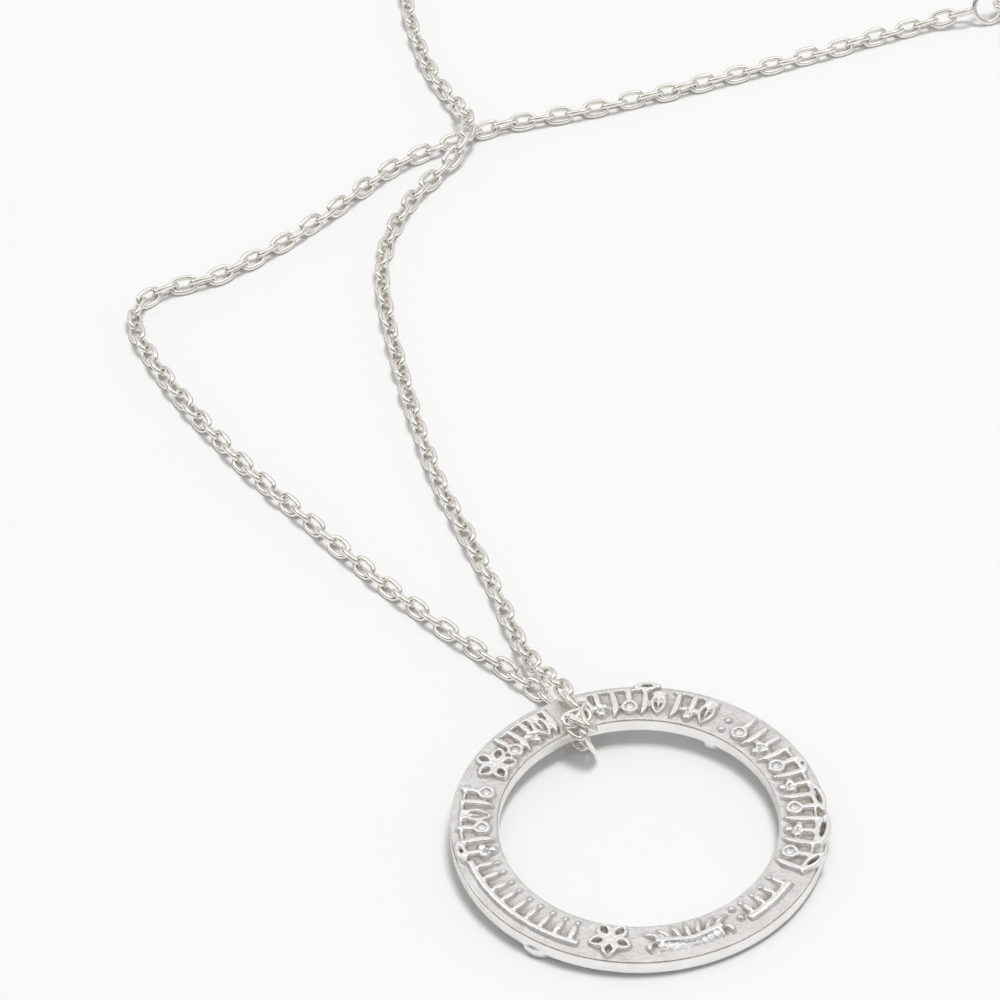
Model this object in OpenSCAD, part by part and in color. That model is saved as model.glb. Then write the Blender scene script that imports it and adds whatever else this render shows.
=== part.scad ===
// Ring pendant on a fine cable chain, laid down on a flat surface.
// The flat cast ring carries raised foliage on both faces. The chain goes through
// the ring's hole and closes behind with a spring ring clasp.
// Sizes are in millimetres, the surface is z = 0, and the ring lies at the -Y end.

/* [Ring] */
// Outer diameter of the flat ring
ring_d = 30; // [29:0.5:31]
// Width of the flat band, from the hole to the rim
band_w = 3.85; // [3.6:0.05:4]
// Thickness of the bare band
ring_t = 1.3; // [1.1:0.05:1.4]
// Bevel along the band's four edges
edge_bevel = 0.12; // [0.05:0.01:0.2]
// Height of the raised foliage above each face
relief_h = 0.35; // [0.2:0.05:0.35]

/* [Chain] */
// Width of the tube that stands in for the chain's links
chain_w = 1.28; // [1.1:0.02:1.28]

/* [Clasp] */
// Outer diameter of the spring ring
clasp_d = 6.5; // [6.3:0.1:6.8]
// Diameter of the tube that it is bent from
clasp_tube_d = 1.5; // [1.4:0.05:1.5]
// Diameter of the sliding bolt wire
bolt_d = 0.72; // [0.6:0.02:0.74]
// Angle that the bolt slides to open the clasp
bolt_travel = 48; // [40:1:48]
// Wire of the ring that the clasp closes on
end_wire_d = 0.6; // [0.5:0.02:0.6]
// Wire of the small ring in the clasp's eye
jump_wire_d = 0.52; // [0.4:0.02:0.52]

/* [Hidden] */
$fn = 48;

ring_r = ring_d / 2;
hole_r = ring_r - band_w;
band_mid_r = ring_r - band_w / 2;
face_z = ring_t / 2;

// The ring leans on the strand below it, and stands on its own foliage opposite.
lean = 2.7;
lean_azimuth = 110;
ring_x = -12;
ring_y = -78;
rest_reach = 13.6;
ring_z = (face_z + relief_h) * cos(lean) + rest_reach * sin(lean);

// How far a raised piece is sunk in the face
root = 0.1;
// How much lower than the leaves the stems and stalks stand
stem_drop = 0.06;
bead_r = 0.3;
stalk_w = 0.24;

// Foliage of the upper face, a row for each motif: azimuth, kind
motif_r = 12.95;
top_motifs = [
    [149, "flower"], [139.5, "curl"], [134.5, "sprout"], [130, "curl"], [125.5, "bud"], [120.5, "sprout"],
    [106.5, "bud"], [101, "curl"], [95.5, "sprout"], [90, "curl"], [84.5, "sprout"], [79.5, "bud"],
    [73, "sprout"], [67.5, "curl"], [61.5, "bud"], [53, "dots"],
    [46, "curl"], [40.5, "sprout"], [35, "curl"], [29.5, "sprout"], [24, "curl"], [18.5, "sprout"],
    [13, "curl"], [7.5, "sprout"], [2, "curl"], [-3.5, "sprout"], [-9, "curl"], [-14.5, "sprout"],
    [-20, "curl"], [-26, "sprout"], [-56, "dots"], [-103, "flower"],
    [-167.5, "curl"], [-173, "sprout"], [-179, "curl"], [-185, "bud"], [-191, "sprout"], [-196.5, "curl"]
];

// Large leaves that stand over the rim: azimuth, radius, turn from the outward direction, length
rim_leaves = [
    [84, 14.7, 92, 2.3], [21, 14.5, 80, 1.7], [6, 14.6, 97, 3.4], [-8, 14.6, 83, 3.2],
    [-22, 14.45, 62, 2.8], [-169, 14.4, 95, 2.4]
];
rim_leaf_w = 0.95;

// Raised vine stems along the band: first azimuth, last azimuth, radius, width
stems = [
    [118.5, 138, 14.3, 0.3], [82, 107, 14.3, 0.3], [59, 75, 14.3, 0.3], [-28, 31, 14.05, 0.3],
    [-54, -33, 13.95, 0.3], [-54, -33, 13.2, 0.26], [-164.5, -113, 14.2, 0.3],
    [-164.5, -114, 13.65, 0.26], [-199, -166.5, 14.1, 0.3]
];

// Rows of small leaves that hang inward from a stem: first azimuth, step, count, radius, length
sprig_rows = [[-161, 5.6, 9, 13.6, 1.45], [-51.5, 5.5, 4, 13.15, 1.05]];
sprig_w = 0.62;
sprig_bead_r = 0.26;

lotus_azimuth = -75.5;
lotus_petals = 7;
lotus_spread = 14;
lotus_foot = 0.5;
lotus_pitch = 0.62;
lotus_petal_l = 1.65;
lotus_petal_w = 0.66;
lotus_bowl_x = 0.4;
lotus_bowl_r = 6.5;
lotus_bowl_w = 0.8;
lotus_bowl_half = 24;

// Foliage of the lower face: a wreath that leaves a gap where the strand passes
wreath_first = -90;
wreath_step = 14;
wreath_count = 24;
wreath_leaf_l = 2.3;

// Chain routes, a row for each point of the chain's middle line: x, y, z.
// The two strands meet inside the ring's hole.
route_over = [
    [-15.8, -68.7, 2.2], [-15.8, -68.7, 2.8], [-15.9, -68.3, 3.35], [-16.2, -67.6, 3.7],
    [-16.6, -66.4, 3.8], [-17, -65.2, 3.85], [-17.3, -64.2, 3.85], [-17.6, -62.9, 3.45],
    [-18.1, -61.6, 2.8], [-18.8, -59.9, 2], [-19.8, -57.2, 1.2], [-20.9, -53.6, 0.8],
    [-22, -49.2, 0.7], [-24.3, -41.3, 0.7], [-26.6, -33.9, 0.7], [-28.2, -26.5, 0.7],
    [-29.7, -17.5, 0.7], [-30.8, -9, 0.7], [-31, -2.6, 0.7], [-29.8, 2.9, 0.7],
    [-27.4, 8, 0.75], [-25, 11.1, 0.95], [-23.5, 13, 1.6], [-22.6, 15, 2.2],
    [-22.5, 17, 2.15], [-23.1, 19.4, 1.45], [-24.1, 22.1, 0.85], [-25.6, 26, 0.7],
    [-27.2, 33, 0.7], [-28, 41, 0.7], [-27.9, 51, 0.7], [-25.4, 63, 0.7],
    [-19, 75, 0.7], [-9, 84.5, 0.7], [3.5, 90.6, 0.7], [17, 92.4, 0.7],
    [30.5, 89, 0.7], [42, 81, 0.7], [50, 69.5, 0.7], [53.4, 57, 0.7],
    [51.6, 46, 0.7], [47.6, 37.6, 0.7], [43, 33.6, 0.85], [37.6, 32.5, 1.6]
];
route_under = [
    [-15.8, -68.7, 2.2], [-15.8, -68.7, 1.6], [-15.8, -68.3, 1.05], [-16, -67.6, 0.75],
    [-16.4, -66.5, 0.7], [-16.8, -65.3, 0.7], [-17.3, -63.8, 0.7], [-18.1, -62.2, 0.7],
    [-20, -59.8, 0.7], [-24.5, -54.9, 0.7], [-31.1, -47.1, 0.7], [-37.4, -38.5, 0.7],
    [-43.4, -30, 0.7], [-48.2, -21.8, 0.7], [-52, -13.9, 0.7], [-53.4, -9.5, 0.7],
    [-53, -6.4, 0.7], [-50.7, -4.6, 0.7], [-46.4, -3.2, 0.7], [-40.9, 0.7, 0.7],
    [-35.4, 5.8, 0.7], [-29.8, 11.8, 0.7], [-25, 14.9, 0.7], [-19.5, 17.4, 0.7],
    [-12, 19, 0.7], [-4, 21.2, 0.7], [4.5, 24, 0.7], [12.5, 26.7, 0.7],
    [18.8, 29, 0.7], [22.4, 30.2, 0.85], [26, 30.5, 1.6]
];
tube_sides = 8;

// Clasp, lying with its axis upright. Its eye points back along the chain.
clasp_pos = [33, 32.4, 1.62];
clasp_turn = 16;
clasp_r = (clasp_d - clasp_tube_d) / 2;
bolt_clear = 0.06;
// Azimuths on the clasp, counted from the side opposite its eye
mouth_from = 46;
mouth_to = 88;
bolt_tip = 42;
bolt_tail = 205;
bore_end = 262;
knob_azimuth = 100;
knob_pin_d = 0.4;
knob_d = 0.8;
knob_reach = 1.3;
slot_h = 0.56;
slot_margin = 6;
eye_r = 0.8;
eye_wire_d = 0.56;
eye_pos = clasp_d / 2 + 0.6;
jump_r = 1.45;
jump_pos = eye_pos + 1.55;
jump_lean = 65;
end_azimuth = -15;
end_r = 1.7;
end_pos = clasp_r - 0.1;
end_lean = 50;

function unit(v) = v / norm(v);
function tangent(path, i) = unit(path[min(i + 1, len(path) - 1)] - path[max(i - 1, 0)]);
function square_to(v, t) = unit(v - (v * t) * t);

// Normals carried along a path without twist, from a first one
function normals(path, first) = [
    for (i = 0, n = square_to(first, tangent(path, 0)); i < len(path);
         i = i + 1, n = i < len(path) ? square_to(n, tangent(path, i)) : n) n
];

// Outline of a pointed leaf along +X, from its foot at the origin
function leaf_points(length, width, steps = 4) = concat(
    [for (i = [0 : steps]) [length * i / steps, width / 2 * sin(180 * i / steps)]],
    [for (i = [steps - 1 : -1 : 1]) [length * i / steps, -width / 2 * sin(180 * i / steps)]]
);

module tube(path, width, first_normal) {
    n = normals(path, first_normal);
    corner_r = width / 2 / cos(180 / tube_sides);
    points = [
        for (i = [0 : len(path) - 1])
            let (b = cross(tangent(path, i), n[i]))
                for (k = [0 : tube_sides - 1])
                    let (a = 360 * (k + 0.5) / tube_sides)
                        path[i] + corner_r * (cos(a) * n[i] + sin(a) * b)
    ];
    last = (len(path) - 1) * tube_sides;
    sides = [
        for (i = [0 : len(path) - 2], k = [0 : tube_sides - 1])
            let (a = i * tube_sides + k, b = i * tube_sides + (k + 1) % tube_sides)
                [a, a + tube_sides, b + tube_sides, b]
    ];
    caps = [
        [for (k = [0 : tube_sides - 1]) k],
        [for (k = [tube_sides - 1 : -1 : 0]) last + k]
    ];
    polyhedron(points, concat(sides, caps));
}

module torus(radius, wire_d) {
    rotate_extrude() translate([radius, 0]) circle(d = wire_d);
}

module bent_rod(radius, rod_d, from, to) {
    rotate([0, 0, from]) rotate_extrude(angle = to - from) translate([radius, 0]) circle(d = rod_d);
}

// Places its children on the face, +X pointing outward from the hole
module on_face(azimuth, radius) {
    rotate([0, 0, azimuth]) translate([radius, 0, face_z]) children();
}

module raised(height = relief_h) {
    translate([0, 0, -root]) linear_extrude(height + root) children();
}

module leaf(length, width, height = relief_h) {
    raised(height) polygon(leaf_points(length, width));
}

module bead(radius) {
    sphere(r = radius, $fn = 24);
}

module stem(from, to, radius, width) {
    rotate([0, 0, from]) translate([0, 0, face_z - root])
        rotate_extrude(angle = to - from, $fn = 96)
            translate([radius - width / 2, 0]) square([width, root + relief_h - stem_drop]);
}

// An open curl round a bead, with a small leaf
module curl_motif() {
    inner_r = 0.5;
    opens_at = 40;
    turn = 285;
    rotate([0, 0, opens_at]) translate([0, 0, -root])
        rotate_extrude(angle = turn, $fn = 32)
            translate([inner_r, 0]) square([stalk_w, root + relief_h]);
    bead(bead_r);
    translate([inner_r + stalk_w / 2, -inner_r / 2, 0]) rotate([0, 0, -8]) leaf(1.1, 0.5);
}

// A stalk with two pairs of side leaves and a bead at its inner end
module sprout_motif() {
    inner_x = -1.1;
    outer_x = 1.35;
    translate([inner_x, -stalk_w / 2, -root])
        cube([outer_x - inner_x, stalk_w, root + relief_h - stem_drop]);
    for (pair = [[0.6, 1.1, 0.45], [-0.35, 0.8, 0.38]], side = [-1, 1])
        translate([pair[0], 0, 0]) rotate([0, 0, side * 128])
            translate([-stalk_w / 2, 0, 0]) leaf(pair[1], pair[2]);
    translate([inner_x, 0, 0]) bead(bead_r);
}

// A large leaf that points inward, between two narrow ones
module bud_motif() {
    foot = 1.3;
    translate([foot, 0, 0]) rotate([0, 0, 180]) leaf(2.4, 0.95);
    for (side = [-1, 1])
        translate([foot, 0, 0]) rotate([0, 0, side * 140]) leaf(1.35, 0.44);
}

module dots_motif() {
    for (x = [0.15, -0.95]) translate([x, 0, 0]) bead(bead_r);
}

module flower_motif() {
    petals = 5;
    heart_r = 0.45;
    for (i = [0 : petals - 1])
        rotate([0, 0, 360 * i / petals]) translate([heart_r * 2 / 3, 0, 0]) leaf(1.45, 0.88);
    bead(heart_r);
}

// Petals that fan inward from a shallow bowl near the rim
module lotus() {
    for (i = [0 : lotus_petals - 1]) {
        k = i - (lotus_petals - 1) / 2;
        translate([lotus_foot, k * lotus_pitch, 0]) rotate([0, 0, 180 - k * lotus_spread])
            leaf(lotus_petal_l, lotus_petal_w);
    }
    translate([lotus_bowl_x - lotus_bowl_r, 0, 0]) raised(relief_h - stem_drop) polygon(concat(
        [for (a = [-lotus_bowl_half : 8 : lotus_bowl_half])
            (lotus_bowl_r + lotus_bowl_w) * [cos(a), sin(a)]],
        [for (a = [lotus_bowl_half : -8 : -lotus_bowl_half])
            lotus_bowl_r * [cos(a), sin(a)]]
    ));
}

module motif(kind) {
    if (kind == "curl") curl_motif();
    if (kind == "sprout") sprout_motif();
    if (kind == "bud") bud_motif();
    if (kind == "dots") dots_motif();
    if (kind == "flower") flower_motif();
}

module upper_foliage() {
    for (m = top_motifs) on_face(m[0], motif_r) motif(m[1]);
    for (s = stems) stem(s[0], s[1], s[2], s[3]);
    for (l = rim_leaves)
        on_face(l[0], l[1]) rotate([0, 0, l[2]]) translate([-l[3] / 2, 0, 0]) leaf(l[3], rim_leaf_w);
    for (row = sprig_rows, i = [0 : row[2] - 1])
        on_face(row[0] + i * row[1], row[3]) {
            rotate([0, 0, 180]) leaf(row[4], sprig_w);
            translate([-row[4] - 0.2, 0, 0]) bead(sprig_bead_r);
        }
    on_face(lotus_azimuth, motif_r) lotus();
}

module lower_foliage() {
    for (i = [0 : wreath_count - 1])
        on_face(wreath_first + i * wreath_step, band_mid_r) {
            rotate([0, 0, 70]) translate([-wreath_leaf_l / 2, 0, 0]) leaf(wreath_leaf_l, 0.95);
            rotate([0, 0, wreath_step / 2]) translate([0, 0.1, 0]) bead(bead_r);
        }
}

module band() {
    e = edge_bevel;
    rotate_extrude($fn = 180) polygon([
        [hole_r + e, -face_z], [ring_r - e, -face_z], [ring_r, -face_z + e], [ring_r, face_z - e],
        [ring_r - e, face_z], [hole_r + e, face_z], [hole_r, face_z - e], [hole_r, -face_z + e]
    ]);
}

module ring_pendant() {
    color("silver")
        translate([ring_x, ring_y, ring_z])
            rotate(a = lean, v = [sin(lean_azimuth), -cos(lean_azimuth), 0])
                union() {
                    band();
                    upper_foliage();
                    rotate([180, 0, 0]) lower_foliage();
                }
}

module chain_over() {
    color("gainsboro") tube(route_over, chain_w, [-0.37, 0.93, 0]);
}

module chain_under() {
    color("lightgray") tube(route_under, chain_w, [-0.37, 0.93, 0]);
}

module at_clasp() {
    translate(clasp_pos) rotate([0, 0, clasp_turn]) children();
}

module clasp_body() {
    bore_d = bolt_d + 2 * bolt_clear;
    color("silver") at_clasp() difference() {
        union() {
            bent_rod(clasp_r, clasp_tube_d, mouth_to, 360 + mouth_from);
            translate([-eye_pos, 0, 0]) torus(eye_r, eye_wire_d);
        }
        bent_rod(clasp_r, bore_d, mouth_to - 2, bore_end);
        bent_rod(clasp_r, bore_d, bolt_tip - 4, mouth_from + 2);
        rotate([0, 0, knob_azimuth - slot_margin])
            rotate_extrude(angle = bolt_travel + 2 * slot_margin)
                translate([clasp_r, -slot_h / 2]) square([clasp_tube_d, slot_h]);
    }
}

module clasp_bolt() {
    color("whitesmoke") at_clasp() {
        bent_rod(clasp_r, bolt_d, bolt_tip, bolt_tail);
        rotate([0, 0, knob_azimuth]) translate([clasp_r, 0, 0]) rotate([0, 90, 0])
            cylinder(d = knob_pin_d, h = knob_reach);
        rotate([0, 0, knob_azimuth]) translate([clasp_r + knob_reach, 0, 0]) sphere(d = knob_d);
    }
}

module clasp_jump_ring() {
    color("silver") at_clasp() translate([-jump_pos, 0, 0]) rotate([jump_lean, 0, 0])
        torus(jump_r, jump_wire_d);
}

module end_ring() {
    color("silver") at_clasp() rotate([0, 0, end_azimuth]) translate([end_pos, 0, 0])
        rotate([end_lean, 0, 0]) torus(end_r, end_wire_d);
}

ring_pendant();
chain_over();
chain_under();
clasp_body();
clasp_bolt();
clasp_jump_ring();
end_ring();
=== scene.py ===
"""Looks of a cast silver ring pendant on a fine cable chain, laid down on a pale surface.

The ring and the chain are modelled in millimetres, and angles are given in degrees. The finished pieces,
the camera and the stage are in metres.
"""

import math
import random

import bpy
import numpy as np
from mathutils import Matrix, Vector


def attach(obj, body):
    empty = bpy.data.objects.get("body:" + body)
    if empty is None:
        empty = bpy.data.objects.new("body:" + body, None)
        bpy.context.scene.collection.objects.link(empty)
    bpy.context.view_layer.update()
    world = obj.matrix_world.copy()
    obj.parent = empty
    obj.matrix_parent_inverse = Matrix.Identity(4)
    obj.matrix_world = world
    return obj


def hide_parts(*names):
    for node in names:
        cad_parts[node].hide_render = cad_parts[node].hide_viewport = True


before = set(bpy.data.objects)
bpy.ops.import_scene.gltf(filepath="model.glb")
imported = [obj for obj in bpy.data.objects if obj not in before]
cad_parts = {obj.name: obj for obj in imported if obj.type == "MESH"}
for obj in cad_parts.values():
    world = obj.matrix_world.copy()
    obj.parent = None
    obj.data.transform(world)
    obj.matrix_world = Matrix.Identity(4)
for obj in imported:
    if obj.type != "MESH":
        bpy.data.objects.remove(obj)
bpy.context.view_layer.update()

MM = 0.001
TURN = 2 * math.pi

# Ring, as in the part's source
RING_R = 15.0
BAND_W = 3.85
HOLE_R = RING_R - BAND_W
BAND_MID_R = RING_R - BAND_W / 2
RING_T = 1.3
FACE_Z = RING_T / 2
EDGE_ROUND = 0.14
RELIEF_H = 0.42
WREATH_H = 0.35
LEAN = math.radians(2.7)
LEAN_AZIMUTH = math.radians(110)
REST_REACH = 13.6
RING_PLACE = Vector((-12, -78, (FACE_Z + WREATH_H) * math.cos(LEAN) + REST_REACH * math.sin(LEAN)))

# Foliage of the upper face, a row for each motif: azimuth, kind
MOTIF_R = 12.95
TOP_MOTIFS = [
    (149, "flower"), (139.5, "curl"), (134.5, "sprout"), (129.5, "berries"), (124.5, "bud"), (120, "sprout"),
    (106.5, "bud"), (101, "berries"), (95.5, "sprout"), (90, "curl"), (84.5, "sprout"), (79.5, "bud"),
    (73, "sprout"), (67.5, "berries"), (61.5, "bud"), (53, "dots"),
    (46, "curl"), (40.5, "sprout"), (35, "berries"), (29.5, "sprout"), (24, "curl"), (18.5, "sprout"),
    (13, "berries"), (7.5, "sprout"), (2, "curl"), (-3.5, "sprout"), (-9, "berries"), (-14.5, "sprout"),
    (-20, "curl"), (-26, "sprout"), (-56, "dots"), (-75.5, "lotus"), (-103, "flower"),
    (-167.5, "berries"), (-173, "sprout"), (-179, "curl"), (-185, "bud"), (-191, "sprout"), (-196.5, "curl"),
]
# Leaves over the rim: azimuth, radius, turn from the outward direction, length
RIM_LEAVES = [
    (84, 14.7, 92, 2.3), (21, 14.4, 80, 1.7), (6, 14.45, 97, 3.2), (-8, 14.6, 83, 3.4),
    (-22, 14.45, 62, 2.8), (-169, 14.4, 95, 2.4),
]
# The same on the lower face, seen from below: they show past the band's edges
UNDER_LEAVES = [(125.5, 14.8, 82, 2.2), (-55.5, 11.35, 85, 1.4)]
# Vine stems, and the wide rail of each row of small leaves: first azimuth, last azimuth, radius, width
STEMS = [
    (118.5, 138, 14.3, 0.3), (82, 107, 14.3, 0.3), (59, 75, 14.3, 0.3), (-28, 31, 14.05, 0.3),
    (-54, -33, 13.55, 0.8), (-164.5, -113, 13.95, 0.66), (-199, -166.5, 14.1, 0.3),
]
# Rows of small leaves that hang inward from a rail: first azimuth, step, count, radius, length
SPRIG_ROWS = [(-161, 5.6, 9, 13.6, 1.45), (-51.5, 5.5, 4, 13.15, 1.05)]
# Wreath of the lower face: a leaf and a dot at each step
WREATH_STEP = 14
WREATH = [-90 + WREATH_STEP * i for i in range(24)]
WREATH_LEAF_TURN = 70
WREATH_LEAF_L = 2.4
# How far the upper face's motifs stray, as hand work does, in turn and in size
MOTIF_STRAY = 2
MOTIF_STRETCH = (0.97, 1.05)
SPRIG_STRAY = 3

# Chain. Its routes are those of the part's source, but for the stretch at the ring's inner edge.
LINK_L = 2.8
LINK_W = 1.8
LINK_WIRE = 0.5
LINK_ROLL = 45
# How far a link's roll strays from that, in degrees, all along and near the ring. The last links of either
# strand don't stray.
ROLL_STRAY = 11
ROLL_STRAY_NEAR_RING = 6
NEAR_RING_R = RING_R + 4
STEADY_LINKS = 4
# What keeps the links off the surface: a gap, and the share of a sloping link's drop that counts
SURFACE_GAP = 0.005
DROP_SHARE = 0.7
# Where a link's direction is closer to upright than this, its side is carried over from the link before
LEAST_LEVEL = 0.3
LINKS_OVER = 156
LINKS_UNDER = 91
ROUTE_OVER = [
    (-16.1, -66.2, 3.8), (-16.6, -65.2, 3.8), (-17.3, -64, 3.8), (-17.6, -62.9, 3.45),
    (-18.1, -61.6, 2.8), (-18.8, -59.9, 2), (-19.8, -57.2, 1.2), (-20.9, -53.6, 0.8),
    (-22, -49.2, 0.7), (-24.3, -41.3, 0.7), (-26.6, -33.9, 0.7), (-28.2, -26.5, 0.7),
    (-29.7, -17.5, 0.7), (-30.8, -9, 0.7), (-31, -2.6, 0.7), (-29.8, 2.9, 0.7),
    (-27.4, 8, 0.75), (-25, 11.1, 0.95), (-23.5, 13, 1.6), (-22.6, 15, 2.2),
    (-22.5, 17, 2.15), (-23.1, 19.4, 1.45), (-24.1, 22.1, 0.85), (-25.6, 26, 0.7),
    (-27.2, 33, 0.7), (-28, 41, 0.7), (-27.9, 51, 0.7), (-25.4, 63, 0.7),
    (-19, 75, 0.7), (-9, 84.5, 0.7), (3.5, 90.6, 0.7), (17, 92.4, 0.7),
    (30.5, 89, 0.7), (42, 81, 0.7), (50, 69.5, 0.7), (53.4, 57, 0.7),
    (51.6, 46, 0.7), (47.6, 37.6, 0.7), (43, 33.6, 0.85), (37.6, 32.5, 1.6),
]
ROUTE_UNDER = [
    (-15.8, -67.45, 0.75), (-16.2, -66.5, 0.7), (-16.8, -65.3, 0.7), (-17.3, -63.8, 0.7), (-18.1, -62.2, 0.7),
    (-20, -59.8, 0.7), (-24.5, -54.9, 0.7), (-31.1, -47.1, 0.7), (-37.4, -38.5, 0.7),
    (-43.4, -30, 0.7), (-48.2, -21.8, 0.7), (-52, -13.9, 0.7), (-53.4, -9.5, 0.7),
    (-53, -6.4, 0.7), (-50.7, -4.6, 0.7), (-46.4, -3.2, 0.7), (-40.9, 0.7, 0.7),
    (-35.4, 5.8, 0.7), (-29.8, 11.8, 0.7), (-25, 14.9, 0.7), (-19.5, 17.4, 0.7),
    (-12, 19, 0.7), (-4, 21.2, 0.7), (4.5, 24, 0.7), (12.5, 26.7, 0.7),
    (18.8, 29, 0.7), (22.4, 30.2, 0.85), (26, 30.5, 1.6),
]
# Where the links between the two strands meet, up through the hole and to and fro on the band, and their roll
PILE = [
    (-15.3, -68.85, 1.75), (-15.9, -68.75, 3.4), (-17.1, -67.6, 3.75),
    (-15.6, -67.05, 3.75), (-15.3, -68.3, 3.8), (-16.6, -67.3, 3.8),
]
PILE_ROLLS = (45, -30, 50, -20, 50, -35, 40)
PILE_LINKS_UNDER = 2

# Camera, at the photo's angle
CAMERA_PLACE = Vector((-21.54, -363.63, 282.17)) * MM
CAMERA_DOWN = math.radians(40.692)
CAMERA_ROLL = math.radians(-3.201)
CAMERA_LENS = 181.19
CAMERA_SENSOR = 36


# Modelling

def deselect():
    if bpy.context.mode != "OBJECT":
        bpy.ops.object.mode_set(mode="OBJECT")
    bpy.ops.object.select_all(action="DESELECT")


def chosen(piece):
    deselect()
    piece.select_set(True)
    bpy.context.view_layer.objects.active = piece


def applied(piece, kind, **settings):
    chosen(piece)
    modifier = piece.modifiers.new(kind.lower(), kind)
    for name, value in settings.items():
        setattr(modifier, name, value)
    bpy.ops.object.modifier_apply(modifier=modifier.name)


def joined(pieces, name):
    chosen(pieces[0])
    for piece in pieces:
        piece.select_set(True)
    if len(pieces) > 1:
        bpy.ops.object.join()
    whole = bpy.context.object
    whole.name = whole.data.name = name
    return whole


def copied(piece, place):
    """A copy with its own mesh, whose points are moved by place."""
    twin = piece.copy()
    twin.data = piece.data.copy()
    bpy.context.collection.objects.link(twin)
    twin.data.transform(place)
    return twin


def removed(pieces):
    for piece in pieces:
        bpy.data.objects.remove(piece)


# Raised strokes of the casting, drawn flat round the origin, with +X towards the rim

# What the melting of the skin takes off a stroke's width, and the height at which a stroke is cut flat
MELT_LOSS = 0.09
FLAT_SHARE = 0.68
ROUND_SHARE = 0.97
EVEN = (1, 1, 1, 1, 1)
LEAFY = (0.25, 0.85, 1, 0.8, 0.12)
# Bow of a hollow leaf's edges, as a share of its width
LEAF_BOW = 0.62


def stroke(points, width, swell=EVEN, height=RELIEF_H, loss=MELT_LOSS, flat=FLAT_SHARE):
    """A flat-topped stroke past five points. swell is its width at each, as a share."""
    deselect()
    bpy.ops.curve.primitive_nurbs_path_add()
    path = bpy.context.object
    path.data.bevel_depth = (width + loss) / 2
    path.data.bevel_resolution = 2
    path.data.use_fill_caps = True
    path.data.resolution_u = 6
    path.data.twist_mode = "Z_UP"
    spline = path.data.splines[0]
    spline.order_u = 3
    spline.use_endpoint_u = True
    for point, (x, y), share in zip(spline.points, points, swell):
        point.co = (x, y, 0, 1)
        point.radius = share
    bpy.ops.object.convert(target="MESH")
    path.data.transform(Matrix.Diagonal((1, 1, 2 * height / (flat * (width + loss)), 1)))
    for vertex in path.data.vertices:
        vertex.co.z = min(vertex.co.z, height)
    return path


def between(a, b, bow=0.0):
    """Five points from a to b, bowed to the left by a share of their distance."""
    a, b = Vector(a), Vector(b)
    left = Vector((a.y - b.y, b.x - a.x))
    return [a.lerp(b, t) + left * bow * math.sin(math.pi * t) for t in (0, 0.25, 0.5, 0.75, 1)]


def arc(centre, radius, start, end):
    """Five points of an arc, set out a little, because the path past them cuts its corners."""
    angles = [math.radians(start + (end - start) * t) for t in (0, 0.25, 0.5, 0.75, 1)]
    outset = 1 / math.cos((angles[1] - angles[0]) / 2) ** 0.5
    reach = radius * outset
    return [(centre[0] + reach * math.cos(a), centre[1] + reach * math.sin(a)) for a in angles]


def bead(x, y, radius):
    deselect()
    bpy.ops.mesh.primitive_uv_sphere_add(segments=16, ring_count=8, radius=radius, location=(x, y, 0))
    bpy.ops.object.transform_apply(location=True, rotation=False, scale=False)
    return bpy.context.object


def hollow_leaf(foot, tip, width, line=0.3, loss=MELT_LOSS):
    """A leaf drawn as its two edges, with the field between them left low."""
    bow = LEAF_BOW * (width - line) / (Vector(tip) - Vector(foot)).length
    swell = (0.8, 1, 1.05, 0.95, 0.6)
    return [stroke(between(foot, tip, side * bow), line, swell, RELIEF_H, loss) for side in (1, -1)]


def curl():
    """A curl round a berry, on a leaf that reaches the stem."""
    strokes = [
        stroke(arc((-0.5, 0), 0.56, 10, 180), 0.32),
        stroke(arc((-0.5, 0), 0.56, 180, 350), 0.32),
        bead(-0.5, 0, 0.31),
        stroke(between((0, 0), (1.6, 0)), 0.6, (0.6, 0.95, 1, 0.85, 0.7)),
    ]
    return joined(strokes, "curl")


def sprout():
    """A plump leaf that points inward, its tip turned a little aside."""
    points = [(1.4, 0), (0.6, -0.04), (-0.1, -0.06), (-0.9, 0.02), (-1.4, 0.24)]
    return joined([stroke(points, 0.6, (0.75, 0.95, 1, 0.9, 0.4))], "sprout")


def berries():
    """Three berries that hang from a short leaf."""
    strokes = [bead(-1, 0, 0.46), bead(-0.25, -0.42, 0.44), bead(-0.25, 0.42, 0.44)]
    strokes.append(stroke(between((-0.1, 0), (1.5, 0)), 0.58, (0.7, 0.9, 1, 0.9, 0.8)))
    return joined(strokes, "berries")


def bud():
    """A hollow leaf with a thin one inside it, and two small ones at its foot."""
    strokes = hollow_leaf((1.3, 0), (-1.3, 0), 1.2, 0.3)
    strokes.append(stroke(between((1.2, 0), (-0.7, 0)), 0.24, LEAFY, 0.36))
    for side in (-1, 1):
        strokes.append(stroke(between((1.3, 0), (0.7, side * 0.62), -side * 0.12), 0.32, LEAFY))
    return joined(strokes, "bud")


def dots():
    """Two dots, side by side across the band."""
    return joined([bead(x, 0, 0.33) for x in (0.15, -0.95)], "dots")


def flower():
    """Five hollow petals round a bead."""
    strokes = [bead(0, 0, 0.45)]
    for i in range(5):
        a = TURN * i / 5
        foot = (0.35 * math.cos(a), 0.35 * math.sin(a))
        tip = (1.72 * math.cos(a), 1.72 * math.sin(a))
        strokes += hollow_leaf(foot, tip, 1.12, 0.34)
    return joined(strokes, "flower")


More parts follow.
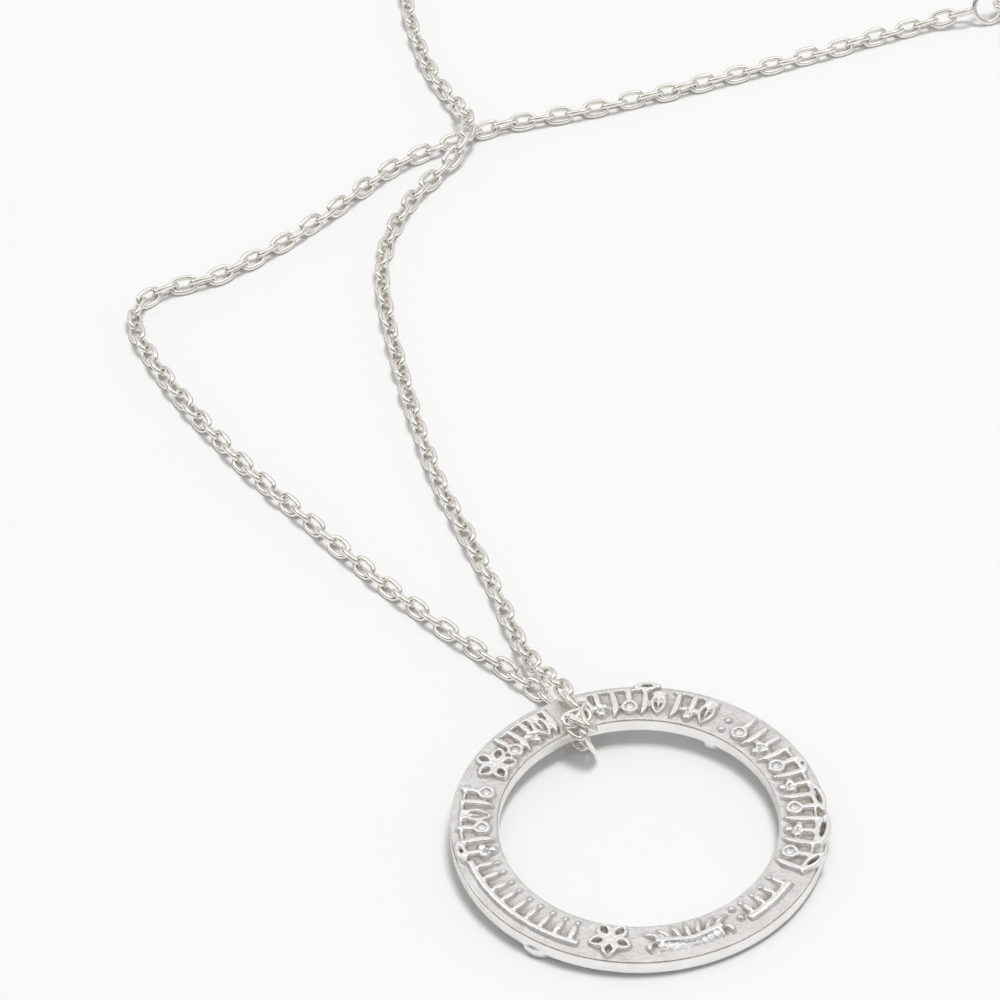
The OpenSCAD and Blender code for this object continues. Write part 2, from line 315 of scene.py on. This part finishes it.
# Lotus: its bowl's place, radius and width, the slope of its skirt, its petals' length, spacing and fan,
# and the angle from pleat to pleat
LOTUS_BOWL_X = 0.4
LOTUS_BOWL_R = 6.5
LOTUS_BOWL_W = 0.8
LOTUS_FALL = 0.34
LOTUS_PETAL_L = 1.85
LOTUS_PETAL_STEP = 0.7
LOTUS_PETAL_FAN = 15
LOTUS_PLEAT_STEP = 4.5


def lotus():
    """Petals that fan inward from a ridge, a pleated skirt that falls outward, and a leaf at either end."""
    strokes = []
    heart = (LOTUS_BOWL_X - LOTUS_BOWL_R, 0)
    for k in range(-3, 4):
        a = math.radians(180 - LOTUS_PETAL_FAN * k)
        foot = (0.42 - 0.03 * k * k, LOTUS_PETAL_STEP * k)
        tip = (foot[0] + LOTUS_PETAL_L * math.cos(a), foot[1] + LOTUS_PETAL_L * math.sin(a))
        swell = (1, 0.9, 1, 0.9, 0.4)
        strokes.append(stroke(between(foot, tip, 0.05 * k), 0.52, swell, RELIEF_H + 0.03, flat=ROUND_SHARE))
    inner, outer = LOTUS_BOWL_R + 0.05, LOTUS_BOWL_R + LOTUS_BOWL_W
    fall = Matrix(((1, 0, 0, 0), (0, 1, 0, 0), (-LOTUS_FALL, 0, 1, LOTUS_FALL * LOTUS_BOWL_X), (0, 0, 0, 1)))
    skirt = []
    for k in range(-5, 5):
        a = math.radians(LOTUS_PLEAT_STEP * (k + 0.5))
        near, far = ((heart[0] + r * math.cos(a), r * math.sin(a)) for r in (inner, outer + 0.1))
        swell = (1, 1, 1, 0.9, 0.7)
        skirt.append(stroke(between(near, far, 0.1), 0.6, swell, RELIEF_H - 0.06, flat=ROUND_SHARE))
    skirt.append(stroke(arc(heart, inner + 0.2, -23, 23), LOTUS_BOWL_W, EVEN, RELIEF_H - 0.2))
    for piece in skirt:
        piece.data.transform(fall)
    strokes += skirt
    wavy = zip(arc(heart, inner - 0.12, -25, 25), (0.1, -0.12, 0.14, -0.1, 0.06))
    strokes.append(stroke([(x + wave, y) for (x, y), wave in wavy], 0.46, EVEN, RELIEF_H + 0.05))
    for side in (-1, 1):
        strokes.append(stroke(between((-0.2, side * 2.75), (0.9, side * 3.3), side * 0.3), 0.5, LEAFY))
    return joined(strokes, "lotus")


def sprig(length):
    """A small hanging leaf with a bead at its tip."""
    leaf = stroke(between((0.2, 0), (-length, 0)), 0.56, (0.6, 1, 1, 0.85, 0.4))
    return joined([leaf, bead(-length - 0.18, 0, 0.26)], "sprig")


def long_leaf():
    """A hollow leaf of unit length along +X, centred, made to be stretched."""
    return joined(hollow_leaf((-0.5, 0), (0.5, 0), 0.33, 0.12, MELT_LOSS / 3), "long_leaf")


# How far a stem's top stays below the leaves, what melting takes off its width, and its steps in degrees
STEM_DROP = 0.06
STEM_LOSS = 0.06
STEM_STEP = 1.5


def stem(start, end, radius, width):
    """A round-topped rail along the band, spun clockwise round the ring's axis."""
    width += STEM_LOSS
    deselect()
    bpy.ops.mesh.primitive_circle_add(vertices=12, radius=width / 2, fill_type="NGON")
    rail = bpy.context.object
    rail.data.transform(Matrix.Diagonal((1, 2 * (RELIEF_H - STEM_DROP) / width, 1, 1)))
    rail.data.transform(Matrix.Rotation(TURN / 4, 4, "X"))
    rail.data.transform(Matrix.Translation((radius, 0, FACE_Z)))
    rail.data.transform(Matrix.Rotation(math.radians(end), 4, "Z"))
    bpy.ops.object.mode_set(mode="EDIT")
    bpy.ops.mesh.select_all(action="SELECT")
    steps = max(6, round((end - start) / STEM_STEP))
    bpy.ops.mesh.spin(steps=steps, angle=math.radians(end - start), center=(0, 0, 0), axis=(0, 0, 1))
    bpy.ops.object.mode_set(mode="OBJECT")
    return rail


def band():
    """The flat band: its section with rounded corners, spun round the ring's axis."""
    deselect()
    bpy.ops.mesh.primitive_plane_add(size=1)
    ring = bpy.context.object
    bpy.ops.object.mode_set(mode="EDIT")
    bpy.ops.mesh.select_all(action="SELECT")
    bpy.ops.transform.resize(value=(BAND_W, RING_T, 1))
    bpy.ops.mesh.bevel(offset=EDGE_ROUND, segments=3, affect="VERTICES")
    bpy.ops.mesh.select_all(action="SELECT")
    bpy.ops.mesh.delete(type="ONLY_FACE")
    bpy.ops.object.mode_set(mode="OBJECT")
    ring.data.transform(Matrix.Translation((BAND_MID_R, 0, 0)) @ Matrix.Rotation(TURN / 4, 4, "X"))
    bpy.ops.object.mode_set(mode="EDIT")
    bpy.ops.mesh.select_all(action="SELECT")
    bpy.ops.mesh.spin(steps=256, angle=TURN, center=(0, 0, 0), axis=(0, 0, 1))
    bpy.ops.mesh.select_all(action="SELECT")
    bpy.ops.mesh.remove_doubles(threshold=0.001)
    bpy.ops.mesh.normals_make_consistent(inside=False)
    bpy.ops.object.mode_set(mode="OBJECT")
    return ring


def on_face(azimuth, radius, turn=0.0, stretch=1.0):
    """Where a motif goes on the upper face."""
    return (
        Matrix.Rotation(math.radians(azimuth), 4, "Z")
        @ Matrix.Translation((radius, 0, FACE_Z))
        @ Matrix.Rotation(math.radians(turn), 4, "Z")
        @ Matrix.Diagonal((stretch, stretch, 1, 1))
    )


# Size of the melting's cells, how often the skin is smoothed after it, and the most triangles that it keeps
VOXEL = 0.085
SMOOTH_ROUNDS = 3
RING_TRIANGLES = 192000


def ring_pendant():
    """The casting: band and foliage melted into one skin."""
    wobble = random.Random(11)
    kinds = {piece.name: piece for piece in (curl(), sprout(), berries(), bud(), dots(), flower(), lotus())}
    leaf = long_leaf()
    pieces = [band()]
    for azimuth, kind in TOP_MOTIFS:
        steady = kind in ("lotus", "dots")
        turn = 0 if steady else wobble.uniform(-MOTIF_STRAY, MOTIF_STRAY)
        stretch = 1 if steady else wobble.uniform(*MOTIF_STRETCH)
        pieces.append(copied(kinds[kind], on_face(azimuth, MOTIF_R, turn, stretch)))
    for start, end, radius, width in STEMS:
        pieces.append(stem(start, end, radius, width))
    for azimuth, radius, turn, length in RIM_LEAVES:
        pieces.append(copied(leaf, on_face(azimuth, radius, turn, length)))
    for first, step, count, radius, length in SPRIG_ROWS:
        small = sprig(length)
        for i in range(count):
            turn = wobble.uniform(-SPRIG_STRAY, SPRIG_STRAY)
            pieces.append(copied(small, on_face(first + step * i, radius, turn)))
        removed([small])
    turned_over = Matrix.Rotation(TURN / 2, 4, "X")
    low = Matrix.Diagonal((1, 1, WREATH_H / RELIEF_H, 1))
    dot = bead(0, 0.1, 0.3)
    for azimuth in WREATH:
        place = on_face(azimuth, BAND_MID_R, WREATH_LEAF_TURN, WREATH_LEAF_L)
        pieces.append(copied(leaf, turned_over @ place @ low))
        pieces.append(copied(dot, turned_over @ on_face(azimuth, BAND_MID_R, WREATH_STEP / 2)))
    for azimuth, radius, turn, length in UNDER_LEAVES:
        pieces.append(copied(leaf, turned_over @ on_face(azimuth, radius, turn, length) @ low))
    ring = joined(pieces, "ring_casting")
    removed([*kinds.values(), leaf, dot])
    applied(ring, "REMESH", mode="VOXEL", voxel_size=VOXEL, use_smooth_shade=True)
    applied(ring, "SMOOTH", factor=0.5, iterations=SMOOTH_ROUNDS)
    triangles = sum(len(face.vertices) - 2 for face in ring.data.polygons)
    if triangles > RING_TRIANGLES:
        applied(ring, "DECIMATE", ratio=RING_TRIANGLES / triangles)
    mark_patina_polish_and_painted_light(ring)
    lean_axis = (math.sin(LEAN_AZIMUTH), -math.cos(LEAN_AZIMUTH), 0)
    ring.data.transform(
        Matrix.Scale(MM, 4) @ Matrix.Translation(RING_PLACE) @ Matrix.Rotation(LEAN, 4, lean_axis)
    )
    chosen(ring)
    bpy.ops.object.shade_smooth()
    return ring


# Grid on which the heights of a face are spread: half its side, a cell, and the reaches of the spreading
# in cells
GRID_HALF = 16.0
GRID_CELL = 0.1
SPREADS = (4, 3)
# What lies lower than the face by more than this belongs to the walls
FACE_DEPTH = 0.06
# How far below its neighbours a point starts to darken, and over how much, for the fields and for the
# pockets.
# This darkening is the casting's darker skin in its hollows together with painted shade.
FIELD_FROM = 0.1
FIELD_OVER = 0.08
POCKET_FROM = 0.2
POCKET_OVER = 0.06
# Past this radius the pockets between the rim's leaves are darker: the dark of the casting skin, with painted
# shade.
RIM_POCKETS_R = 14.1
RIM_POCKET_DARK = 1.1
POCKET_DARK = 0.3
# Painted shade on the relief's flanks, the steeper the darker
PAINTED_FLANK_SHADE = 0.3
# Where the thin dark line of the band's edges lies in from its corners, how full and how dark it is, how much
# of it is left level with the ring's middle, and over what length it fades. The line is a painted reflection:
# the dark that the rounded edges mirror is painted into their tint. It shows on the far part of the inner
# edge and on the near part of the outer one.
EDGE_LINE = 0.06
EDGE_LINE_CORE = 1.4
PAINTED_EDGE_LINE_DARK = 1.4
EDGE_LINE_MIDWAY = 0.6
EDGE_LINE_FADE = 6
# Polish of the relief's tops, from which share of its height, how much less on its flanks, and on the walls.
# It lowers their roughness and also paints their tint brighter, a painted highlight.
TOP_POLISH = 0.6
TOP_SHARE = 0.8
FLANK_LOSS = 0.5
WALL_POLISH = 0.5
WALL_DEPTH = 0.12


def mark_patina_polish_and_painted_light(ring):
    """Stores how dark each point is painted, from how low it lies among its neighbours: the casting's darker
    skin in its hollows with painted shade on it, painted shade on steep flanks, and a thin painted dark
    reflection along the band's edges. Also stores how far each point stands out, for its polish and a painted
    highlight.
    """
    co = np.empty(len(ring.data.vertices) * 3)
    ring.data.vertices.foreach_get("co", co)
    x, y, z = co.reshape(-1, 3).T
    normals = np.empty(len(co))
    ring.data.vertices.foreach_get("normal", normals)
    flank = np.clip(1 - np.abs(normals.reshape(-1, 3)[:, 2]), 0, 1)
    size = int(2 * GRID_HALF / GRID_CELL)
    column = ((x + GRID_HALF) / GRID_CELL).astype(int).clip(0, size - 1)
    row = ((y + GRID_HALF) / GRID_CELL).astype(int).clip(0, size - 1)
    radius = np.hypot(x, y)
    patina_and_painted_shade = np.zeros(len(x))
    polish_and_painted_highlight = np.zeros(len(x))
    nearest = np.minimum(radius - HOLE_R, RING_R - radius)
    # Painted reflection: a thin dark line in from the band's corners, fading towards the near part of the
    # inner edge and the far part of the outer one.
    line = np.clip(EDGE_LINE_CORE - np.abs(nearest - EDGE_LINE) / EDGE_LINE, 0, 1)
    line *= np.clip(EDGE_LINE_MIDWAY + np.where(radius < BAND_MID_R, y, -y) / EDGE_LINE_FADE, 0, 1)
    pocket_dark = np.where(radius > RIM_POCKETS_R, RIM_POCKET_DARK, POCKET_DARK)
    for side in (1, -1):
        height = side * z - FACE_Z
        here = height > -FACE_DEPTH
        field = np.zeros((size, size))
        np.maximum.at(field, (row[here], column[here]), height[here])
        for axis in (0, 1):
            for reach in SPREADS:
                field = sum(np.roll(field, k, axis) for k in range(-reach, reach + 1)) / (2 * reach + 1)
        around = field[row, column]
        # Painted shade: fields and pockets that lie lower than their surroundings darken, over the casting's
        # own darker skin there.
        low = np.clip((around - height - FIELD_FROM) / FIELD_OVER, 0, 1)
        pocket = np.clip((around - height - POCKET_FROM) / POCKET_OVER, 0, 1) * pocket_dark
        # Steep flanks of the relief get painted shade.
        patina_and_painted_shade = np.where(here, low + pocket + PAINTED_FLANK_SHADE * flank, patina_and_painted_shade)
        # The painted dark line goes just below the face, on the rounded corner.
        edge = np.abs(height + EDGE_LINE) < EDGE_LINE
        patina_and_painted_shade = np.where(edge, patina_and_painted_shade + PAINTED_EDGE_LINE_DARK * line, patina_and_painted_shade)
        # Painted highlight: the higher a point stands on the relief, the brighter its tint, besides the lower
        # roughness of its polish; the walls too.
        top = np.clip(height / (TOP_SHARE * RELIEF_H) - FLANK_LOSS * flank, 0, 1)
        polish_and_painted_highlight = np.where(here, TOP_POLISH * top, polish_and_painted_highlight)
    wall = (np.abs(z) < FACE_Z - EDGE_ROUND / 2) | (nearest < WALL_DEPTH)
    polish_and_painted_highlight = np.where(wall, WALL_POLISH, polish_and_painted_highlight)
    for name, values in (("patina_and_painted_shade", patina_and_painted_shade), ("polish_and_painted_highlight", polish_and_painted_highlight)):
        layer = ring.data.attributes.new(name, "FLOAT", "POINT")
        layer.data.foreach_set("value", values.astype(np.float32))


# Chain

def smooth_route(points, steps=24):
    """A line past every point, rounded with knots at the roots of the distances, so that close points
    make no loops in it."""
    points = [Vector(p) for p in points]
    points = [2 * points[0] - points[1], *points, 2 * points[-1] - points[-2]]
    line = []
    for a, b, c, d in zip(points, points[1:], points[2:], points[3:]):
        t1 = (b - a).length ** 0.5
        t2 = t1 + (c - b).length ** 0.5
        t3 = t2 + (d - c).length ** 0.5
        for k in range(steps):
            t = t1 + (t2 - t1) * k / steps
            ab = a.lerp(b, t / t1)
            bc = b.lerp(c, (t - t1) / (t2 - t1))
            cd = c.lerp(d, (t - t2) / (t3 - t2))
            abc = ab.lerp(bc, t / t2)
            bcd = bc.lerp(cd, (t - t1) / (t3 - t1))
            line.append(abc.lerp(bcd, (t - t1) / (t2 - t1)))
    return [*line, points[-2]]


# The shares of an oval's width and of its wire that are left when the rounding has drawn them in
ROUNDED_OVAL = 0.966
ROUNDED_WIRE = 0.87


def link():
    """One oval link of round wire, lying flat along X, made large enough for its rounding."""
    deselect()
    wire_r = LINK_WIRE / 2
    oval_r = (LINK_W / 2 - wire_r) / ROUNDED_OVAL
    bpy.ops.mesh.primitive_torus_add(
        major_segments=12, minor_segments=6, major_radius=oval_r, minor_radius=wire_r / ROUNDED_WIRE
    )
    oval = bpy.context.object
    for side in (-1, 1):
        bpy.ops.object.mode_set(mode="EDIT")
        bpy.ops.mesh.select_all(action="DESELECT")
        bpy.ops.object.mode_set(mode="OBJECT")
        for vertex in oval.data.vertices:
            vertex.select = side * vertex.co.x > 0.01
        bpy.ops.object.mode_set(mode="EDIT")
        bpy.ops.transform.translate(value=(side * (LINK_L - LINK_W) / 2, 0, 0))
    bpy.ops.object.mode_set(mode="OBJECT")
    return oval


def stops(route, count):
    """Even stops for so many links along a smooth line past the route's points."""
    line = np.array(smooth_route(route))
    along = np.concatenate([[0], np.cumsum(np.linalg.norm(np.diff(line, axis=0), axis=1))])
    return [Vector([np.interp(s, along, line[:, k]) for k in range(3)])
            for s in np.linspace(0, along[-1], count + 1)]


def chain():
    """Interlocking links along both strands, with a few piled on the band's inner edge between them."""
    wobble = random.Random(5)
    joints = [*stops(ROUTE_UNDER, LINKS_UNDER)[::-1], *map(Vector, PILE), *stops(ROUTE_OVER, LINKS_OVER)]
    count = len(joints) - 1
    pattern = link()
    strands = {"under": [], "over": []}
    side = Vector((0, 1, 0))
    for i in range(count):
        place = (joints[i] + joints[i + 1]) / 2
        ahead = (joints[i + 1] - joints[i]).normalized()
        level = ahead.cross(Vector((0, 0, 1)))
        if level.length > LEAST_LEVEL:
            side = level.normalized() * (1 if level.dot(side) >= 0 else -1)
        side = (side - ahead * side.dot(ahead)).normalized()
        up = side.cross(ahead)
        near_ring = (place.xy - RING_PLACE.xy).length < NEAR_RING_R
        stray = ROLL_STRAY_NEAR_RING if near_ring else ROLL_STRAY
        if not STEADY_LINKS <= i < count - STEADY_LINKS:
            stray = 0
        roll = LINK_ROLL * (-1) ** (i + 1) + wobble.uniform(-stray, stray)
        if LINKS_UNDER <= i < LINKS_UNDER + len(PILE_ROLLS):
            roll = PILE_ROLLS[i - LINKS_UNDER]
        roll = math.radians(roll)
        lay = side * math.cos(roll) + up * math.sin(roll)
        across = ahead.cross(lay)
        half_l = (LINK_L - LINK_WIRE) / 2
        half_h = (LINK_W - LINK_WIRE) / 2 * abs(lay.z) + LINK_WIRE / 2 + half_l * abs(ahead.z) * DROP_SHARE
        place.z = max(place.z, half_h + SURFACE_GAP)
        turn = Matrix((ahead, lay, across)).transposed().to_4x4()
        strand = strands["under" if i < LINKS_UNDER + PILE_LINKS_UNDER else "over"]
        strand.append(copied(pattern, Matrix.Scale(MM, 4) @ Matrix.Translation(place) @ turn))
    removed([pattern])
    made = []
    for name, links in strands.items():
        strand = joined(links, f"links_{name}")
        bpy.ops.object.shade_smooth()
        rounding = strand.modifiers.new("rounding", "SUBSURF")
        rounding.levels = rounding.render_levels = 1
        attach(strand, "necklace")
        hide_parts(f"chain_{name}")
        made.append(strand)
    return made


# Materials

# Sizes of the patterns. The sand's grain, the streaks and the marks on the wire are finer in truth, and are
# drawn as coarse as they need to be to show.
RUBBED_PATCH_MM = 1.6
SAND_GRAIN_MM = 0.22
RUB_STREAK_MM = 0.16
WIRE_PATCH_MM = 0.9
WIRE_MARK_MM = 0.15


def linear(hex_colour):
    """The linear colour of an sRGB hex value."""
    parts = [int(hex_colour[i:i + 2], 16) / 255 for i in (1, 3, 5)]
    return (*[c / 12.92 if c <= 0.04045 else ((c + 0.055) / 1.055) ** 2.4 for c in parts], 1)


def node(tree, kind, links=(), **settings):
    """Adds a node: plain settings go to its properties or its sockets, links to its inputs."""
    made = tree.nodes.new("ShaderNode" + kind)
    for name, value in settings.items():
        label = name.replace("_", " ")
        if label in made.inputs:
            made.inputs[label].default_value = value
        else:
            setattr(made, name, value)
    for socket, source in dict(links).items():
        tree.links.new(source, made.inputs[socket])
    return made


def per_metre(size_mm):
    """Noise scale whose grain has that size."""
    return 1 / (size_mm * MM)


def cast_silver():
    """Sterling silver, sand cast and hand polished. The eye gets satin faces with a fine grain and
    faint rubbed streaks, bright relief and walls, and low fields left rough. Light and shade are painted into
    the tint: the relief's tops and the walls are painted brighter, a painted highlight besides their polish;
    low fields and pockets are painted darker and slightly yellow, the casting's own skin there with painted
    shade on it; steep flanks get painted shade, and the band's edges a thin painted dark reflection."""
    material = bpy.data.materials.new("cast_sterling_silver")
    material.use_nodes = True
    tree = material.node_tree
    shader = tree.nodes["Principled BSDF"]
    shader.inputs["Metallic"].default_value = 1
    place = node(tree, "TexCoord").outputs["Object"]
    patina_and_painted_shade = node(tree, "Attribute", attribute_name="patina_and_painted_shade").outputs["Fac"]
    polish_and_painted_highlight = node(tree, "Attribute", attribute_name="polish_and_painted_highlight").outputs["Fac"]
    clouds = node(tree, "TexNoise", {"Vector": place}, Scale=per_metre(RUBBED_PATCH_MM), Detail=3)
    stand = node(tree, "Math", {0: polish_and_painted_highlight, 1: patina_and_painted_shade}, operation="SUBTRACT")
    # Painted light in the tint: random clouds, made brighter by the painted highlight and darker by the
    # patina and painted shade.
    mottle_and_painted_light = node(tree, "Math", {0: clouds.outputs["Fac"], 1: stand.outputs["Value"]})
    level = node(tree, "MapRange", {"Value": mottle_and_painted_light.outputs["Value"]}, From_Min=-1.3, From_Max=1.5)
    tint = node(tree, "ValToRGB", {"Fac": level.outputs["Result"]})
    # From dark to light: hollows with their skin and painted shade, the low fields, the satin land, and
    # polished tops and walls with a painted highlight.
    tint.color_ramp.elements[0].color = linear("#736A63")
    tint.color_ramp.elements[1].color = linear("#FFFFFE")
    tint.color_ramp.elements.new(0.286).color = linear("#C9C1B9")
    tint.color_ramp.elements.new(0.643).color = linear("#EBE9E7")
    tree.links.new(tint.outputs["Color"], shader.inputs["Base Color"])
    satin = node(tree, "MapRange", {"Value": clouds.outputs["Fac"]}, To_Min=0.24, To_Max=0.4)
    gloss = node(tree, "MapRange", {"Value": polish_and_painted_highlight, "To Min": satin.outputs["Result"]}, To_Max=0.09)
    tree.links.new(gloss.outputs["Result"], shader.inputs["Roughness"])
    grain = node(tree, "TexNoise", {"Vector": place},
                 Scale=per_metre(SAND_GRAIN_MM), Detail=4, Roughness=0.65)
    along = node(tree, "Mapping", {"Vector": place}, Rotation=(0, 0, math.radians(35)), Scale=(1, 0.12, 1))
    streaks = node(tree, "TexNoise", {"Vector": along.outputs["Vector"]},
                   Scale=per_metre(RUB_STREAK_MM), Detail=3)
    depth = node(tree, "MapRange", {"Value": polish_and_painted_highlight}, To_Min=0.75, To_Max=0.04)
    waves = node(tree, "Bump", {"Height": clouds.outputs["Fac"], "Strength": depth.outputs["Result"]},
                 Distance=0.3 * MM)
    rubbed = node(tree, "Bump", {"Height": streaks.outputs["Fac"], "Normal": waves.outputs["Normal"],
                                 "Strength": depth.outputs["Result"]}, Distance=0.03 * MM)
    bump = node(tree, "Bump", {"Height": grain.outputs["Fac"], "Normal": rubbed.outputs["Normal"],
                               "Strength": depth.outputs["Result"]}, Distance=0.12 * MM)
    tree.links.new(bump.outputs["Normal"], shader.inputs["Normal"])
    return material


def wire_silver(name, roughness):
    """Sterling silver wire, drawn and tumbled. The eye gets bright lines along each link, a little
    softer in patches where it was handled, and dark ones where it mirrors the room."""
    material = bpy.data.materials.new(name)
    material.use_nodes = True
    tree = material.node_tree
    shader = tree.nodes["Principled BSDF"]
    shader.inputs["Metallic"].default_value = 1
    shader.inputs["Base Color"].default_value = linear("#F6F3EE")
    place = node(tree, "TexCoord").outputs["Object"]
    clouds = node(tree, "TexNoise", {"Vector": place}, Scale=per_metre(WIRE_PATCH_MM), Detail=3)
    gloss = node(tree, "MapRange", {"Value": clouds.outputs["Fac"]},
                 To_Min=roughness * 0.7, To_Max=roughness * 1.4)
    tree.links.new(gloss.outputs["Result"], shader.inputs["Roughness"])
    marks = node(tree, "TexNoise", {"Vector": place}, Scale=per_metre(WIRE_MARK_MM), Detail=2)
    bump = node(tree, "Bump", {"Height": marks.outputs["Fac"]}, Strength=0.12, Distance=0.01 * MM)
    tree.links.new(bump.outputs["Normal"], shader.inputs["Normal"])
    return material


def dressed(piece, material):
    piece.data.materials.clear()
    piece.data.materials.append(material)


# Stage

FLOOR_SIZE = 6
# What the lamp faces, and the middle and radius of the tent of cards
LAMP_AIM = Vector((-0.012, -0.06, 0))
TENT_MIDDLE = Vector((-0.012, -0.078, 0.002))
TENT_R = 0.6
CARD_WHITE = (1, 0.995, 0.985, 1)
ROOM_GLOW = 0.53


def floor():
    deselect()
    bpy.ops.mesh.primitive_plane_add(size=FLOOR_SIZE)
    surface = bpy.context.object
    surface.name = "pale_surface"
    material = bpy.data.materials.new("matt_white_card")
    material.use_nodes = True
    shader = material.node_tree.nodes["Principled BSDF"]
    shader.inputs["Base Color"].default_value = linear("#F5F5F5")
    shader.inputs["Roughness"].default_value = 0.9
    shader.inputs["Specular IOR Level"].default_value = 0.1
    dressed(surface, material)


def facing(place, aim):
    """The turn of a lamp or card at place whose lit side is towards aim."""
    return (Vector(place) - aim).to_track_quat("Z", "Y").to_euler()


def softbox(name, place, width, height, power):
    """The tent's lamp. It lights the surface and draws the shadows; the silver mirrors the cards."""
    deselect()
    bpy.ops.object.light_add(type="AREA", location=place, rotation=facing(place, LAMP_AIM))
    lamp = bpy.context.object
    lamp.name = name
    lamp.data.shape = "RECTANGLE"
    lamp.data.size = width
    lamp.data.size_y = height
    lamp.data.energy = power
    lamp.visible_glossy = False


def card(name, azimuth, elevation, width, height, glow):
    """A card of the light tent that only the silver's reflections see. Its place and size are in degrees,
    as the ring sees them."""
    a, e = math.radians(azimuth), math.radians(elevation)
    outward = Vector((math.cos(a) * math.cos(e), math.sin(a) * math.cos(e), math.sin(e)))
    place = TENT_MIDDLE + TENT_R * outward
    size = [2 * TENT_R * math.tan(math.radians(angle) / 2) for angle in (width, height)]
    deselect()
    bpy.ops.mesh.primitive_plane_add(size=1, location=place, rotation=facing(place, TENT_MIDDLE))
    sheet = bpy.context.object
    sheet.name = name
    sheet.scale = (*size, 1)
    sheet.visible_camera = False
    sheet.visible_shadow = False
    sheet.visible_diffuse = False
    material = bpy.data.materials.new(name)
    material.use_nodes = True
    tree = material.node_tree
    tree.nodes.clear()
    light = node(tree, "Emission", Color=CARD_WHITE, Strength=glow)
    node(tree, "OutputMaterial", {"Surface": light.outputs["Emission"]})
    dressed(sheet, material)


def studio():
    world = bpy.data.worlds.new("light_tent")
    bpy.context.scene.world = world
    world.use_nodes = True
    back = world.node_tree.nodes["Background"]
    back.inputs["Color"].default_value = (1, 1, 1, 1)
    back.inputs["Strength"].default_value = ROOM_GLOW
    softbox("right_softbox", (0.44, -0.01, 2.56), 0.85, 0.75, 36)
    card("back_card", 90, 50, 66, 60, 0.86)
    card("overhead_card", 90, 88, 70, 34, 1.1)
    card("bright_right_card", 20, 60, 18, 18, 2.4)
    card("bright_left_card", 155, 42, 18, 18, 3)
    card("camera_side_card", -92, 44, 44, 30, 0.16)
    card("left_card", 190, 16, 70, 26, 0.2)
    card("right_card", -10, 14, 50, 22, 0.5)
    view = bpy.context.scene.view_settings
    view.view_transform = "Standard"
    view.exposure = 0


def camera():
    data = bpy.data.cameras.new("camera")
    data.sensor_width = CAMERA_SENSOR
    data.lens = CAMERA_LENS
    data.clip_start, data.clip_end = 0.01, 20
    eye = bpy.data.objects.new("camera", data)
    bpy.context.collection.objects.link(eye)
    eye.matrix_world = (
        Matrix.Translation(CAMERA_PLACE)
        @ Matrix.Rotation(TURN / 4 - CAMERA_DOWN, 4, "X")
        @ Matrix.Rotation(CAMERA_ROLL, 4, "Z")
    )
    bpy.context.scene.camera = eye


camera()
floor()
studio()

ring = ring_pendant()
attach(ring, "necklace")
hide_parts("ring_pendant")
dressed(ring, cast_silver())

chain_silver = wire_silver("drawn_sterling_wire", 0.15)
for strand in chain():
    dressed(strand, chain_silver)

clasp_silver = wire_silver("polished_sterling", 0.1)
for name in ("clasp_body", "clasp_bolt", "clasp_jump_ring", "end_ring"):
    dressed(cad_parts[name], clasp_silver)
